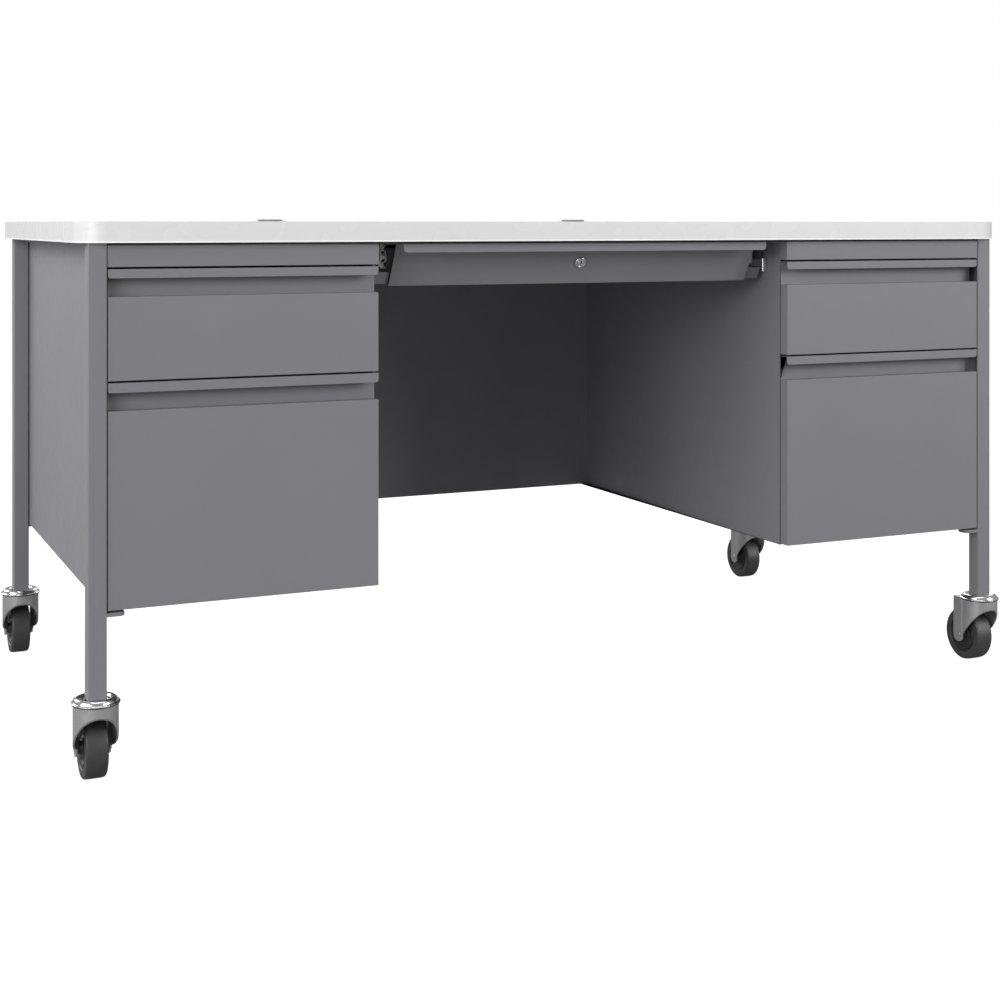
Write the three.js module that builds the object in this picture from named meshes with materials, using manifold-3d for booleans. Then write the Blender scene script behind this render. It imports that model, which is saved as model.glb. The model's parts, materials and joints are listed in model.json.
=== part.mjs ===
// Mobile double-pedestal teacher desk: steel frame and pedestals, laminate worktop, five drawers,
// four swivel casters. Millimetres, +Z up, the user sits on the -Y side, floor at Z = 0.
import * as THREE from "three";
import { mergeVertices } from "three/addons/utils/BufferGeometryUtils.js";
import Module from "manifold-3d";

const wasm = await Module();
wasm.setup();

// ---------------------------------------------------------------- driving dimensions
const worktop = { width: 1524, depth: 762, thick: 28.6, top: 743, corner: 36, band: 2 };
const gap = 0.3; // left between pieces that touch
const sheet = 1.2; // folded steel sheet

const leg = { size: 25, wall: 1.5, corner: 2, halfX: 747.6, halfY: 370.5, bottom: 112.6 };
const legTab = { length: 24, depth: 22, thick: 5, top: 225.4, corner: 5 };

const pedestal = { inner: 343.3, outer: 722.3, front: -347, back: 340, bottom: 226.2, top: 711.6 };
const kneeFlange = 13; // rear edge of the kneehole panel, folded toward the kneehole

const face = { outer: 721.2, y: -368.4, depth: 20, lip: 2.4, lipCorner: 3.5 };
const channelFlange = 8; // the channel's back sheet, folded down behind the face
const rail = { overhang: 0.9, bottom: 682.2 };
const boxDrawer = { top: 679.6, lipBottom: 667.2, faceTop: 642.8, bottom: 531.3 };
const fileDrawer = { top: 528.7, lipBottom: 515.5, faceTop: 491.3, bottom: 228.3 };

const slideRoom = 13.2; // between pedestal wall and drawer body
const bodyLength = 580;
const boxBody = { bottom: 545, top: 628 };
const fileBody = { bottom: 240, top: 478 };
const folderRail = { apart: 311, width: 3, height: 14 };

const slideSection = { height: 35.7, thick: 12.5, metal: 1.2, step: 4.2 };
const boxSlide = { z: 588, front: -342, length: 500 };
const fileSlide = { z: 430, front: -342, length: 550 };
const centreSlide = { z: 691.9, front: -303.4, length: 350, inner: 306.8, thick: 12.1 };

const centre = {
  half: 304.5,
  lipY: -367,
  lipBottom: 698.6,
  lipTop: 711.1,
  slopeTopY: -335.9,
  slopeBottomY: -301.4,
  bottom: 648.7,
  trayFront: -297.4,
  trayBack: 85,
  trayHalf: 306.5,
  trayFloor: 651.8,
  trayTop: 704,
  wingTop: 669.6,
  wingHalf: 330.3,
  wingFront: -309,
};
const hanger = { inner: 319.2, outer: 339.7, innerBottom: 672, outerBottom: 662.7, metal: 1.5 };

const lock = { z: 681.4, flange: 9.3, proud: 3, body: 8, plug: 5.6, length: 17, cam: 19 };
const grommet = {
  x: 304.8,
  y: 322,
  hole: 28,
  tube: 26,
  flange: 31.5,
  lip: 20, // inner edge of the flange, under the cap
  rise: 1.2,
  cap: 22.4,
  proud: 4.5,
};

const caster = {
  wheel: 42.5,
  tread: 30,
  trail: 26.5,
  axle: 4,
  cap: 32.2,
  capTop: 114.5,
  capBottom: 106.3,
  stem: 5.5,
  stemTop: 148,
  skirt: 29.8,
  metal: 2.5,
  archTop: 93,
  cheek: 23, // outer face of the flat cheeks at the axle
  cheekFront: 16.5, // the bend between the skirt and a flat cheek
  cheekBack: 38.5,
  tip: 12.2, // radius of the cheek's rounded end about the axle
};

// ---------------------------------------------------------------- derived dimensions
const underside = worktop.top - worktop.thick;
const legCentreX = leg.halfX - leg.size / 2;
const legCentreY = leg.halfY - leg.size / 2;
const faceBack = face.y + face.depth;
const bodyInner = pedestal.inner + sheet + slideRoom;
const bodyOuter = pedestal.outer - sheet - slideRoom;
const bodyFront = faceBack + gap;
const bodyBack = bodyFront + bodyLength;
const slopeRun = centre.slopeBottomY - centre.slopeTopY;
const slopeDrop = centre.lipTop - sheet - centre.bottom;
const slopeAngle = Math.atan2(slopeRun, slopeDrop);
const lockY = centre.slopeTopY + ((centre.lipTop - sheet - lock.z) * slopeRun) / slopeDrop;
const frontMost = -legCentreY - caster.cap;
const rearMost = legCentreY + caster.trail + caster.wheel;
const boxCentreY = (frontMost + rearMost) / 2;

// ---------------------------------------------------------------- materials
const finishes = {
  grey_powder_coat: { color: 0x7c7c80, roughness: 0.55, metalness: 0 },
  white_laminate: { color: 0xe6e6e6, roughness: 0.4, metalness: 0 },
  white_edge_band: { color: 0xdedede, roughness: 0.3, metalness: 0 },
  grommet_plastic: { color: 0x8c8c8c, roughness: 0.5, metalness: 0 },
  chrome: { color: 0xd0d0d0, roughness: 0.1, metalness: 1 },
  zinc_plate: { color: 0x9a9a9a, roughness: 0.4, metalness: 0.8 },
  slide_steel: { color: 0xb0b0b0, roughness: 0.3, metalness: 1 },
  black_rubber: { color: 0x3a3a3c, roughness: 0.7, metalness: 0 },
};
const desk = new THREE.Group();
desk.name = "teacher_desk";

function addGroup(name, parent = desk) {
  const group = new THREE.Group();
  group.name = name;
  parent.add(group);
  return group;
}

// Puts a solid into a group as a named mesh with its own material, and returns the mesh for placing.
function addNode(parent, name, solid, slot) {
  const mesh = solid.getMesh();
  const geometry = new THREE.BufferGeometry();
  geometry.setAttribute("position", new THREE.BufferAttribute(new Float32Array(mesh.vertProperties), 3));
  geometry.setIndex(new THREE.BufferAttribute(new Uint32Array(mesh.triVerts), 1));
  const flat = geometry.toNonIndexed();
  flat.computeVertexNormals();
  const node = new THREE.Mesh(flat, new THREE.MeshStandardMaterial(finishes[slot]));
  node.name = name;
  parent.add(node);
  return node;
}

// ---------------------------------------------------------------- shape helpers
function solidOf(geometry) {
  const bare = geometry.clone();
  bare.deleteAttribute("normal");
  bare.deleteAttribute("uv");
  const merged = mergeVertices(bare, 1e-4);
  return new wasm.Manifold(
    new wasm.Mesh({
      numProp: 3,
      vertProperties: merged.attributes.position.array,
      triVerts: new Uint32Array(merged.index.array),
    }),
  );
}

const join = (...pieces) => pieces.reduce((sum, piece) => sum.add(piece));
const cut = (solid, ...tools) => tools.reduce((left, tool) => left.subtract(tool), solid);

// Puts a shape's two ends along one axis at exactly `low` and `high`, so that touching faces share a plane.
function fitAxis(geometry, axis, low, high) {
  const position = geometry.getAttribute("position");
  geometry.computeBoundingBox();
  const middle = geometry.boundingBox.getCenter(new THREE.Vector3()).getComponent(axis);
  for (let i = 0; i < position.count; i += 1) {
    position.setComponent(i, axis, position.getComponent(i, axis) > middle ? high : low);
  }
  return geometry;
}

function block(xa, xb, ya, yb, za, zb) {
  const geometry = new THREE.BoxGeometry(1, 1, 1);
  fitAxis(geometry, 0, Math.min(xa, xb), Math.max(xa, xb));
  fitAxis(geometry, 1, ya, yb);
  fitAxis(geometry, 2, za, zb);
  return solidOf(geometry);
}

function extrude(points, depth, holes = []) {
  const shape = new THREE.Shape(points.map(([a, b]) => new THREE.Vector2(a, b)));
  for (const hole of holes) shape.holes.push(new THREE.Path(hole.map(([a, b]) => new THREE.Vector2(a, b))));
  return new THREE.ExtrudeGeometry(shape, { depth, bevelEnabled: false });
}

// A profile in X and Y, from za up to zb.
function prismZ(points, za, zb, holes) {
  return solidOf(fitAxis(extrude(points, zb - za, holes), 2, za, zb));
}

// A profile in X and Z, from ya back to yb.
function prismY(points, ya, yb) {
  const geometry = extrude(points, yb - ya);
  geometry.rotateX(Math.PI / 2);
  return solidOf(fitAxis(geometry, 1, ya, yb));
}

// A profile in Y and Z, from xa across to xb.
function prismX(points, xa, xb) {
  const geometry = extrude(points, xb - xa);
  const turn = new THREE.Matrix4().makeBasis(
    new THREE.Vector3(0, 1, 0),
    new THREE.Vector3(0, 0, 1),
    new THREE.Vector3(1, 0, 0),
  );
  geometry.applyMatrix4(turn);
  return solidOf(fitAxis(geometry, 0, xa, xb));
}

// A profile of [radius, height] pairs, counter-clockwise, turned about the Z axis.
function turnedGeometry(profile, segments) {
  const points = profile.map(([r, z]) => new THREE.Vector2(r, z));
  return new THREE.LatheGeometry(points, segments).rotateX(Math.PI / 2);
}
const turned = (profile, segments = 40) => solidOf(turnedGeometry(profile, segments));

const rod = (radius, za, zb, segments = 32) =>
  turned([[0, za], [radius, za], [radius, zb], [0, zb]], segments);

function roundedRectangle(halfX, halfY, radius, steps) {
  const points = [];
  const corners = [[1, 1, 0], [-1, 1, 90], [-1, -1, 180], [1, -1, 270]];
  for (const [sx, sy, start] of corners) {
    for (let i = 0; i <= steps; i += 1) {
      const angle = THREE.MathUtils.degToRad(start + (90 * i) / steps);
      points.push([
        sx * (halfX - radius) + radius * Math.cos(angle),
        sy * (halfY - radius) + radius * Math.sin(angle),
      ]);
    }
  }
  return points;
}

// An open-backed folded pan: a front sheet with returns on its four edges.
function foldedPan(xa, xb, za, zb, front, back) {
  const side = Math.sign(xb - xa);
  const whole = block(xa, xb, front, back, za, zb);
  const inset = side * sheet;
  return cut(whole, block(xa + inset, xb - inset, front + sheet, back + 1, za + sheet, zb - sheet));
}

// ---------------------------------------------------------------- worktop
function buildWorktop() {
  const halfX = worktop.width / 2;
  const halfY = worktop.depth / 2;
  const outline = (inset) => roundedRectangle(halfX - inset, halfY - inset, worktop.corner - inset, 10);
  const drill = rod(grommet.hole, underside - 1, worktop.top + 1, 40);
  const hole = (side) => drill.translate([side * grommet.x, grommet.y, 0]);
  const board = prismZ(outline(worktop.band + gap), underside, worktop.top);
  const group = addGroup("worktop");
  addNode(group, "worktop_board", cut(board, hole(-1), hole(1)), "white_laminate");
  const band = prismZ(outline(0), underside, worktop.top, [outline(worktop.band)]);
  addNode(group, "worktop_edge_band", band, "white_edge_band");
}

// A cable grommet: a sleeve with a flat flange through the worktop, and a lift-off cap with a cord notch.
function buildGrommet(name, side) {
  const { tube, flange, lip, rise, cap, proud } = grommet;
  const top = worktop.top + gap;
  const sleeve = turned([
    [tube - 2, underside - 1],
    [tube, underside - 1],
    [tube, top],
    [flange, top],
    [flange - 0.6, top + rise],
    [lip, top + rise],
    [lip, top - rise],
    [tube - 2, top - rise],
    [tube - 2, underside - 1],
  ]);
  const disc = rod(cap, top + rise + gap, top + proud, 40);
  const notch = block(-8, 8, 12, 40, top, top + 10);
  const group = addGroup(name + "_grommet");
  addNode(group, name + "_grommet_sleeve", sleeve, "grommet_plastic");
  addNode(group, name + "_grommet_cap", cut(disc, notch), "grommet_plastic");
  group.position.set(side * grommet.x, grommet.y, 0);
}

// ---------------------------------------------------------------- frame
// A square tube leg with a bored plug at its foot and a small bracket under the pedestal's corner.
function buildLeg(name, sideX, sideY) {
  const half = leg.size / 2;
  const hollow = half - leg.wall;
  const plugTop = caster.stemTop + 8;
  const tube = prismZ(roundedRectangle(half, half, leg.corner, 3), leg.bottom, underside - gap);
  const bracket = prismZ(
    [
      [-half + 1, -half + 1],
      [-half - legTab.length + legTab.corner, -half + 1],
      [-half - legTab.length, -half + 1 + legTab.corner],
      [-half - legTab.length, half - 3],
      [-half + 1, half - 3],
    ].map(([x, y]) => [sideX * x, -sideY * y]),
    legTab.top - legTab.thick,
    legTab.top,
  );
  const post = cut(
    join(tube, bracket),
    block(-hollow, hollow, -hollow, hollow, plugTop, underside + 1),
    rod(caster.stem + 0.25, leg.bottom - 1, plugTop + 1, 20),
  );
  const node = addNode(desk, name + "_leg", post, "grey_powder_coat");
  node.position.set(sideX * legCentreX, sideY * legCentreY, 0);
}

function buildPedestal(group, name, side) {
  const { inner, outer, front, back, bottom, top } = pedestal;
  const outerSide = join(
    block(side * (outer - sheet), side * outer, front, back, bottom, top),
    block(side * (inner + sheet + gap), side * outer, front + 2, back - 1, bottom, bottom + sheet),
    block(side * (outer - 18), side * outer, front + 60, back - 20, top - sheet, top),
  );
  addNode(group, name + "_outer_side", outerSide, "grey_powder_coat");
  const innerSide = join(
    block(side * inner, side * (inner + sheet), front, back, bottom, top),
    block(side * (inner - kneeFlange), side * (inner + sheet), back - sheet, back, bottom, top),
  );
  addNode(group, name + "_inner_side", innerSide, "grey_powder_coat");
  const railPan = foldedPan(
    side * (inner - rail.overhang),
    side * (face.outer + rail.overhang),
    rail.bottom,
    top,
    face.y,
    front - gap,
  );
  addNode(group, name + "_top_rail", railPan, "grey_powder_coat");
}

function buildBackPanel() {
  const { outer, back, bottom, top } = pedestal;
  const panel = join(
    block(-outer, outer, back + gap, back + gap + sheet, bottom, top),
    block(-outer, outer, back + gap, back + 16, bottom, bottom + sheet),
    block(-outer, outer, back + gap, back + 16, top - sheet, top),
  );
  addNode(desk, "back_panel", panel, "grey_powder_coat");
}

// ---------------------------------------------------------------- telescopic slides
// How far each nested channel starts from the wall, and how far short of the slide's depth it ends.
// Member 0 is on the wall and 1 runs between; both open away from it. Member 2 is on the drawer, facing it.
const slideNest = [
  { near: 0, short: 3.2 },
  { near: 1.3, short: 1.8 },
  { near: 4.4, short: 0 },
];

// One channel against a wall at x, built toward `toward` (+1 or -1). `level` is how many steps lower it is.
function slideMember({ x, toward, z, front, length, thick = slideSection.thick }, member, level = member) {
  const { height, metal, step } = slideSection;
  const half = height / 2 - step * level;
  const near = slideNest[member].near;
  const far = thick - slideNest[member].short;
  const hollowNear = member === 2 ? near - 1 : near + metal;
  const hollowFar = member === 2 ? far - metal : far + 1;
  const whole = block(x + toward * near, x + toward * far, front, front + length, z - half, z + half);
  const hollow = block(
    x + toward * hollowNear,
    x + toward * hollowFar,
    front - 1,
    front + length + 1,
    z - half + metal,
    z + half - metal,
  );
  return cut(whole, hollow);
}

// The two walls of a pedestal that slides hang on.
const slideWalls = (side) => [
  { wall: "inner", x: side * (pedestal.inner + sheet + gap), toward: side },
  { wall: "outer", x: side * (pedestal.outer - sheet - gap), toward: -side },
];

function buildPedestalSlides(group, name, side) {
  for (const { wall, x, toward } of slideWalls(side)) {
    const file = { ...fileSlide, x, toward };
    const runner = { ...file, front: file.front + 1, length: file.length - 2 };
    const box = { ...boxSlide, x, toward };
    addNode(group, `${name}_file_${wall}_slide_rail`, slideMember(file, 0), "slide_steel");
    addNode(group, `${name}_file_${wall}_slide_runner`, slideMember(runner, 1), "slide_steel");
    addNode(group, `${name}_box_${wall}_slide_rail`, slideMember(box, 0), "slide_steel");
  }
}

// ---------------------------------------------------------------- pedestal drawers
// A folded front: the face pan, a finger-pull channel above it and a hemmed lip over the channel.
function buildDrawerFront(group, name, side, sizes) {
  const xa = side * pedestal.inner;
  const xb = side * face.outer;
  const low = Math.min(xa, xb);
  const high = Math.max(xa, xb);
  const r = face.lipCorner;
  const pan = foldedPan(xa, xb, sizes.bottom, sizes.faceTop, face.y, faceBack);
  const channelBack = block(xa, xb, faceBack - sheet, faceBack, sizes.faceTop - channelFlange, sizes.top);
  const channelTop = block(xa, xb, face.y, faceBack, sizes.top - sheet, sizes.top);
  const lip = prismY(
    [
      [low, sizes.top],
      [low, sizes.lipBottom + r],
      [low + r * 0.3, sizes.lipBottom + r * 0.3],
      [low + r, sizes.lipBottom],
      [high - r, sizes.lipBottom],
      [high - r * 0.3, sizes.lipBottom + r * 0.3],
      [high, sizes.lipBottom + r],
      [high, sizes.top],
    ],
    face.y,
    face.y + face.lip,
  );
  addNode(group, name + "_front", join(pan, channelBack, channelTop, lip), "grey_powder_coat");
}

// A box of sheet metal, open at the top.
function openTray(xa, xb, ya, yb, za, zb) {
  const side = Math.sign(xb - xa);
  const inset = side * sheet;
  const whole = block(xa, xb, ya, yb, za, zb);
  return cut(whole, block(xa + inset, xb - inset, ya + sheet, yb - sheet, za + sheet, zb + 1));
}

// The open-topped body of a pedestal drawer.
const pedestalTray = (side, body) =>
  openTray(side * bodyInner, side * bodyOuter, bodyFront, bodyBack, body.bottom, body.top);

// The runners that a drawer carries, welded to its sides. `level` is 2 inside a running member, else 1.
function drawerRunners(side, slide, level) {
  const runners = slideWalls(side).map(({ x, toward }) =>
    slideMember({ ...slide, x, toward, thick: slideRoom + 0.2 }, 2, level),
  );
  return join(...runners);
}

function buildBoxDrawer(pedestalGroup, name, side) {
  const group = addGroup(name, pedestalGroup);
  buildDrawerFront(group, name, side, boxDrawer);
  const body = join(pedestalTray(side, boxBody), drawerRunners(side, boxSlide, 1));
  addNode(group, name + "_body", body, "grey_powder_coat");
}

function buildFileDrawer(pedestalGroup, name, side) {
  const group = addGroup(name, pedestalGroup);
  buildDrawerFront(group, name, side, fileDrawer);
  const middle = (side * (bodyInner + bodyOuter)) / 2;
  const rails = [-1, 1].map((end) => {
    const x = middle + (end * folderRail.apart) / 2;
    const half = folderRail.width / 2;
    const low = fileBody.top - folderRail.height;
    return block(x - half, x + half, bodyFront + 0.4, bodyBack - 0.4, low, fileBody.top);
  });
  const body = join(pedestalTray(side, fileBody), drawerRunners(side, fileSlide, 2), ...rails);
  addNode(group, name + "_body", body, "grey_powder_coat");
}

// ---------------------------------------------------------------- centre drawer
function buildCentreDrawer(group) {
  const { half, lipY, lipBottom, lipTop, slopeTopY, slopeBottomY, bottom, trayFront, trayBack } = centre;
  const t = sheet;
  const across = t / Math.cos(slopeAngle);
  const profile = [
    [lipY, lipBottom],
    [lipY + t, lipBottom],
    [lipY + t, lipTop - t],
    [slopeTopY, lipTop - t],
    [slopeBottomY, bottom],
    [slopeBottomY + across, bottom],
    [slopeTopY + across - t * Math.tan(slopeAngle), lipTop],
    [lipY, lipTop],
  ];
  const r = 5;
  const sheetFront = prismX(profile, -half, half);
  const corner = (sign) =>
    prismY(
      [
        [sign * (half + 1), lipBottom - 1],
        [sign * (half + 1), lipBottom + r],
        [sign * half, lipBottom + r],
        [sign * (half - r * 0.3), lipBottom + r * 0.3],
        [sign * (half - r), lipBottom],
        [sign * (half - r), lipBottom - 1],
      ],
      lipY - 1,
      lipY + t + 1,
    );
  const lockHole = rod(lock.body + gap, -10, 10).transform(lockFrame().elements);
  const front = cut(sheetFront, corner(-1), corner(1), lockHole);
  addNode(group, "centre_drawer_front", front, "grey_powder_coat");

  const { trayHalf, trayFloor, trayTop } = centre;
  const tray = openTray(-trayHalf, trayHalf, trayFront, trayBack, trayFloor, trayTop);
  const runners = [-1, 1].map((side) => {
    const { z, inner, thick } = centreSlide;
    const start = centreSlide.front + 8;
    const length = centreSlide.length - 8;
    const x = side * (inner + thick);
    return slideMember({ x, toward: -side, z, front: start, length, thick: thick + 0.5 }, 2);
  });
  const body = join(tray, trayWing(-1), trayWing(1), ...runners);
  addNode(group, "centre_drawer_tray", body, "grey_powder_coat");
}

// A bracket that reaches forward and outward from the tray's side, under the slide, sloped as the front is.
function trayWing(side) {
  const { trayHalf, trayFloor, trayFront, wingTop, wingHalf, wingFront } = centre;
  const run = (wingTop - trayFloor) * Math.tan(slopeAngle);
  const between = (backTop, backBottom, reach) => {
    const profile = [
      [wingFront, wingTop],
      [wingFront + run, trayFloor],
      [backBottom, trayFloor],
      [backTop, wingTop],
    ];
    const ends = [side * (trayHalf - sheet), side * reach];
    return prismX(profile, Math.min(...ends), Math.max(...ends));
  };
  const plate = between(wingFront + 1.8, wingFront + run + 1.8, wingHalf);
  const arm = between(trayFront + 1, trayFront + 1, trayHalf);
  return join(plate, arm);
}

function buildCentreSlide(group, name, side) {
  const { z, front, length, inner: drawerSide, thick } = centreSlide;
  const rail = { x: side * (drawerSide + thick), toward: -side, z, front, length, thick };
  const runner = { ...rail, front: front + 1, length: length - 2 };
  addNode(group, name + "_slide_rail", slideMember(rail, 0), "slide_steel");
  addNode(group, name + "_slide_runner", slideMember(runner, 1), "slide_steel");
  const { inner, outer, metal, innerBottom, outerBottom } = hanger;
  const start = front + 6;
  const end = front + length + 20;
  const top = underside - gap;
  const channel = join(
    block(side * inner, side * outer, start, end, top - metal, top),
    block(side * inner, side * (inner + metal), start, end, innerBottom, top),
    block(side * (outer - metal), side * outer, start, end, outerBottom, top),
  );
  addNode(group, name + "_hanger", channel, "grey_powder_coat");
}

// ---------------------------------------------------------------- lock
// The lock's own frame: +Z out of the drawer's sloping face, +Y up along it.
function lockFrame() {
  const matrix = new THREE.Matrix4().makeBasis(
    new THREE.Vector3(1, 0, 0),
    new THREE.Vector3(0, -Math.sin(slopeAngle), Math.cos(slopeAngle)),
    new THREE.Vector3(0, -Math.cos(slopeAngle), -Math.sin(slopeAngle)),
  );
  return matrix.setPosition(0, lockY, lock.z);
}

function buildLock() {
  const bore = lock.plug + 0.2;
  const barrel = turned([
    [bore, -lock.length],
    [lock.body, -lock.length],
    [lock.body, gap],
    [lock.flange, gap],
    [lock.flange, lock.proud - 1],
    [lock.flange - 1.2, lock.proud],
    [bore, lock.proud],
    [bore, -lock.length],
  ]);
  const group = addGroup("lock");
  group.applyMatrix4(lockFrame());
  addNode(group, "lock_barrel", barrel, "chrome");
  const keyway = block(-0.8, 0.8, -3.4, 3.4, lock.proud - 5, lock.proud + 1);
  const cam = prismZ(
    [[-4, -5], [lock.cam, -3.5], [lock.cam, 3.5], [-4, 5]],
    -lock.length - 2.3,
    -lock.length - gap,
  );
  const plug = cut(join(rod(lock.plug, -lock.length - 1, lock.proud - 0.4), cam), keyway);
  addNode(group, "lock_plug", plug, "chrome");
}

// ---------------------------------------------------------------- casters
// The fork's plan outline: a half circle round the front, then sides drawn in to two parallel cheeks.
function forkPlan(inset) {
  const radius = caster.skirt - inset;
  const cheek = caster.cheek - inset;
  const points = [];
  for (let i = 0; i <= 20; i += 1) {
    const angle = Math.PI + (Math.PI * i) / 20;
    points.push([radius * Math.cos(angle), radius * Math.sin(angle)]);
  }
  const drawIn = new THREE.CubicBezierCurve(
    new THREE.Vector2(radius, 0),
    new THREE.Vector2(radius, caster.cheekFront * 0.5),
    new THREE.Vector2(cheek, caster.cheekFront * 0.7),
    new THREE.Vector2(cheek, caster.cheekFront),
  );
  const side = drawIn.getPoints(4).slice(1).map(({ x, y }) => [x, y]);
  points.push(...side, [cheek, 60], [-cheek, 60]);
  points.push(...side.reverse().map(([x, y]) => [-x, y]));
  return points;
}

// The fork's side outline: an arch that rises from the rounded cheek end to the front of the skirt.
function forkSide() {
  const { trail, wheel, tip, cheekFront, cheekBack, archTop, skirt } = caster;
  const top = caster.capBottom - gap;
  const points = [[cheekBack, top], [-skirt - 1, top], [-skirt - 1, archTop]];
  const rise = new THREE.CubicBezierCurve(
    new THREE.Vector2(-skirt, archTop),
    new THREE.Vector2(-cheekFront, archTop - tip),
    new THREE.Vector2(cheekFront * 0.3, wheel + 3),
    new THREE.Vector2(trail - tip, wheel + 1),
  );
  points.push(...rise.getPoints(8).map(({ x, y }) => [x, y]));
  for (let i = 1; i <= 8; i += 1) {
    const angle = Math.PI + (Math.PI * i) / 8;
    points.push([trail + tip * Math.cos(angle), wheel + tip * Math.sin(angle)]);
  }
  return points;
}

function buildFork() {
  const { wheel, trail, metal, skirt, cheek, cheekBack, axle } = caster;
  const top = caster.capBottom - gap;
  const shell = cut(prismZ(forkPlan(0), 20, top), prismZ(forkPlan(metal), 10, top - metal));
  const rearOpening = block(-cheek + metal, cheek - metal, skirt * 0.6, 80, 10, top - metal);
  const rearNotch = block(-40, 40, cheekBack, 80, 10, top + 1);
  const sides = shell.intersect(prismX(forkSide(), -40, 40));
  const axlePin = rod(axle, -cheek + 0.6, cheek - 0.6, 20).rotate([0, 90, 0]).translate([0, trail, wheel]);
  return join(cut(sides, rearOpening, rearNotch), axlePin);
}

function buildCaster(name, sideX, sideY) {
  const group = addGroup(name + "_caster");
  group.position.set(sideX * legCentreX, sideY * legCentreY, 0);
  const { cap, capTop, capBottom, stem, stemTop, wheel, tread, trail } = caster;
  const dish = leg.bottom - gap;
  const stemAndCap = turned(
    [
      [0, capBottom],
      [cap - 3, capBottom],
      [cap, capBottom + 1.2],
      [cap, capBottom + 2.2],
      [cap - 3, capTop - 2],
      [cap - 6, capTop],
      [cap - 10, capTop - 0.6],
      [leg.size * 0.74, dish],
      [stem, dish],
      [stem, stemTop],
      [0, stemTop],
    ],
    28,
  );
  addNode(group, name + "_caster_stem", stemAndCap, "chrome");
  addNode(group, name + "_caster_fork", buildFork(), "zinc_plate");

  const half = tread / 2;
  const hub = caster.cheek - caster.metal - gap;
  const bore = caster.axle + 0.15;
  const wheelSolid = turned(
    [
      [bore, -hub],
      [9, -hub],
      [11, -half + 3],
      [25, -half + 3],
      [27, -half],
      [wheel - 5, -half],
      [wheel, -half + 6],
      [wheel, half - 6],
      [wheel - 5, half],
      [27, half],
      [25, half - 3],
      [11, half - 3],
      [9, hub],
      [bore, hub],
      [bore, -hub],
    ],
    36,
  );
  const node = addNode(group, name + "_caster_wheel", wheelSolid, "black_rubber");
  node.rotation.y = Math.PI / 2;
  node.position.set(0, trail, wheel);
}

// ---------------------------------------------------------------- assembly
buildWorktop();
buildBackPanel();
const centreGroup = addGroup("centre_drawer");
buildCentreDrawer(centreGroup);
buildLock();
for (const [name, side] of [["left", -1], ["right", 1]]) {
  buildGrommet(name, side);
  const group = addGroup(name + "_pedestal");
  buildPedestal(group, name, side);
  buildPedestalSlides(group, name, side);
  buildBoxDrawer(group, name + "_box_drawer", side);
  buildFileDrawer(group, name + "_file_drawer", side);
  buildCentreSlide(centreGroup, "centre_" + name, side);
  for (const [end, sideY] of [["front", -1], ["rear", 1]]) {
    buildLeg(end + "_" + name, side, sideY);
    buildCaster(end + "_" + name, side, sideY);
  }
}

// The origin is the centre of the whole desk's footprint, on the floor.
desk.position.y = -boxCentreY;

export default desk;
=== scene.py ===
import json
import math

import bmesh
import bpy
from mathutils import Matrix, Vector


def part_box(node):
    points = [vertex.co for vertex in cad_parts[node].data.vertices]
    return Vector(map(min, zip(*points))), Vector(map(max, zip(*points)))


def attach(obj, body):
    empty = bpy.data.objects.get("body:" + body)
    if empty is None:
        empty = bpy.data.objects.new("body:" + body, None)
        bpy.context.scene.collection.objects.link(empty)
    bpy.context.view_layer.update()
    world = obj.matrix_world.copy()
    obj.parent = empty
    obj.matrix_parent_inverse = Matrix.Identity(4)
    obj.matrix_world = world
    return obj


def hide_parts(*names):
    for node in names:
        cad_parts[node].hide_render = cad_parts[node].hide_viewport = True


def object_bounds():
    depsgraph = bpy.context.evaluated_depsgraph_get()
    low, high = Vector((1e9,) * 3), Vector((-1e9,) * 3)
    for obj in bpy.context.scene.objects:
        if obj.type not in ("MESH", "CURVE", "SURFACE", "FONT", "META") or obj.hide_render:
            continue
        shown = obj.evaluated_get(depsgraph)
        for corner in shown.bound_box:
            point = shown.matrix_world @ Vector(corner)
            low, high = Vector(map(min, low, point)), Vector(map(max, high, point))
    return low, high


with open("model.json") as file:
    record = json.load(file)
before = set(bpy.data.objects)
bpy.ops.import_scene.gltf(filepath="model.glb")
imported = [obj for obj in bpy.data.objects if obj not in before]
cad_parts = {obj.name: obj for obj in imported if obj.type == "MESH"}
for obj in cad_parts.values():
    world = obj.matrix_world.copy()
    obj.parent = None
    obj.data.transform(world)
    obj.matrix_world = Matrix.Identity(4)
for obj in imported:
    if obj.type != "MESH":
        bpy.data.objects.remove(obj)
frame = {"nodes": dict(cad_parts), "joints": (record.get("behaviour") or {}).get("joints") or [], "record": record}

cad_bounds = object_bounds()
MM = 0.001
SIDES = (("left", -1), ("right", 1))
CORNERS = tuple(end + "_" + side for side, _ in SIDES for end in ("front", "rear"))

# ---------------------------------------------------------------- places taken from the frame
floor_z = cad_bounds[0][2]
worktop_low, worktop_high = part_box("worktop_board")
band_low, band_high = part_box("worktop_edge_band")
desk_middle_y = (band_low.y + band_high.y) / 2


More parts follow.
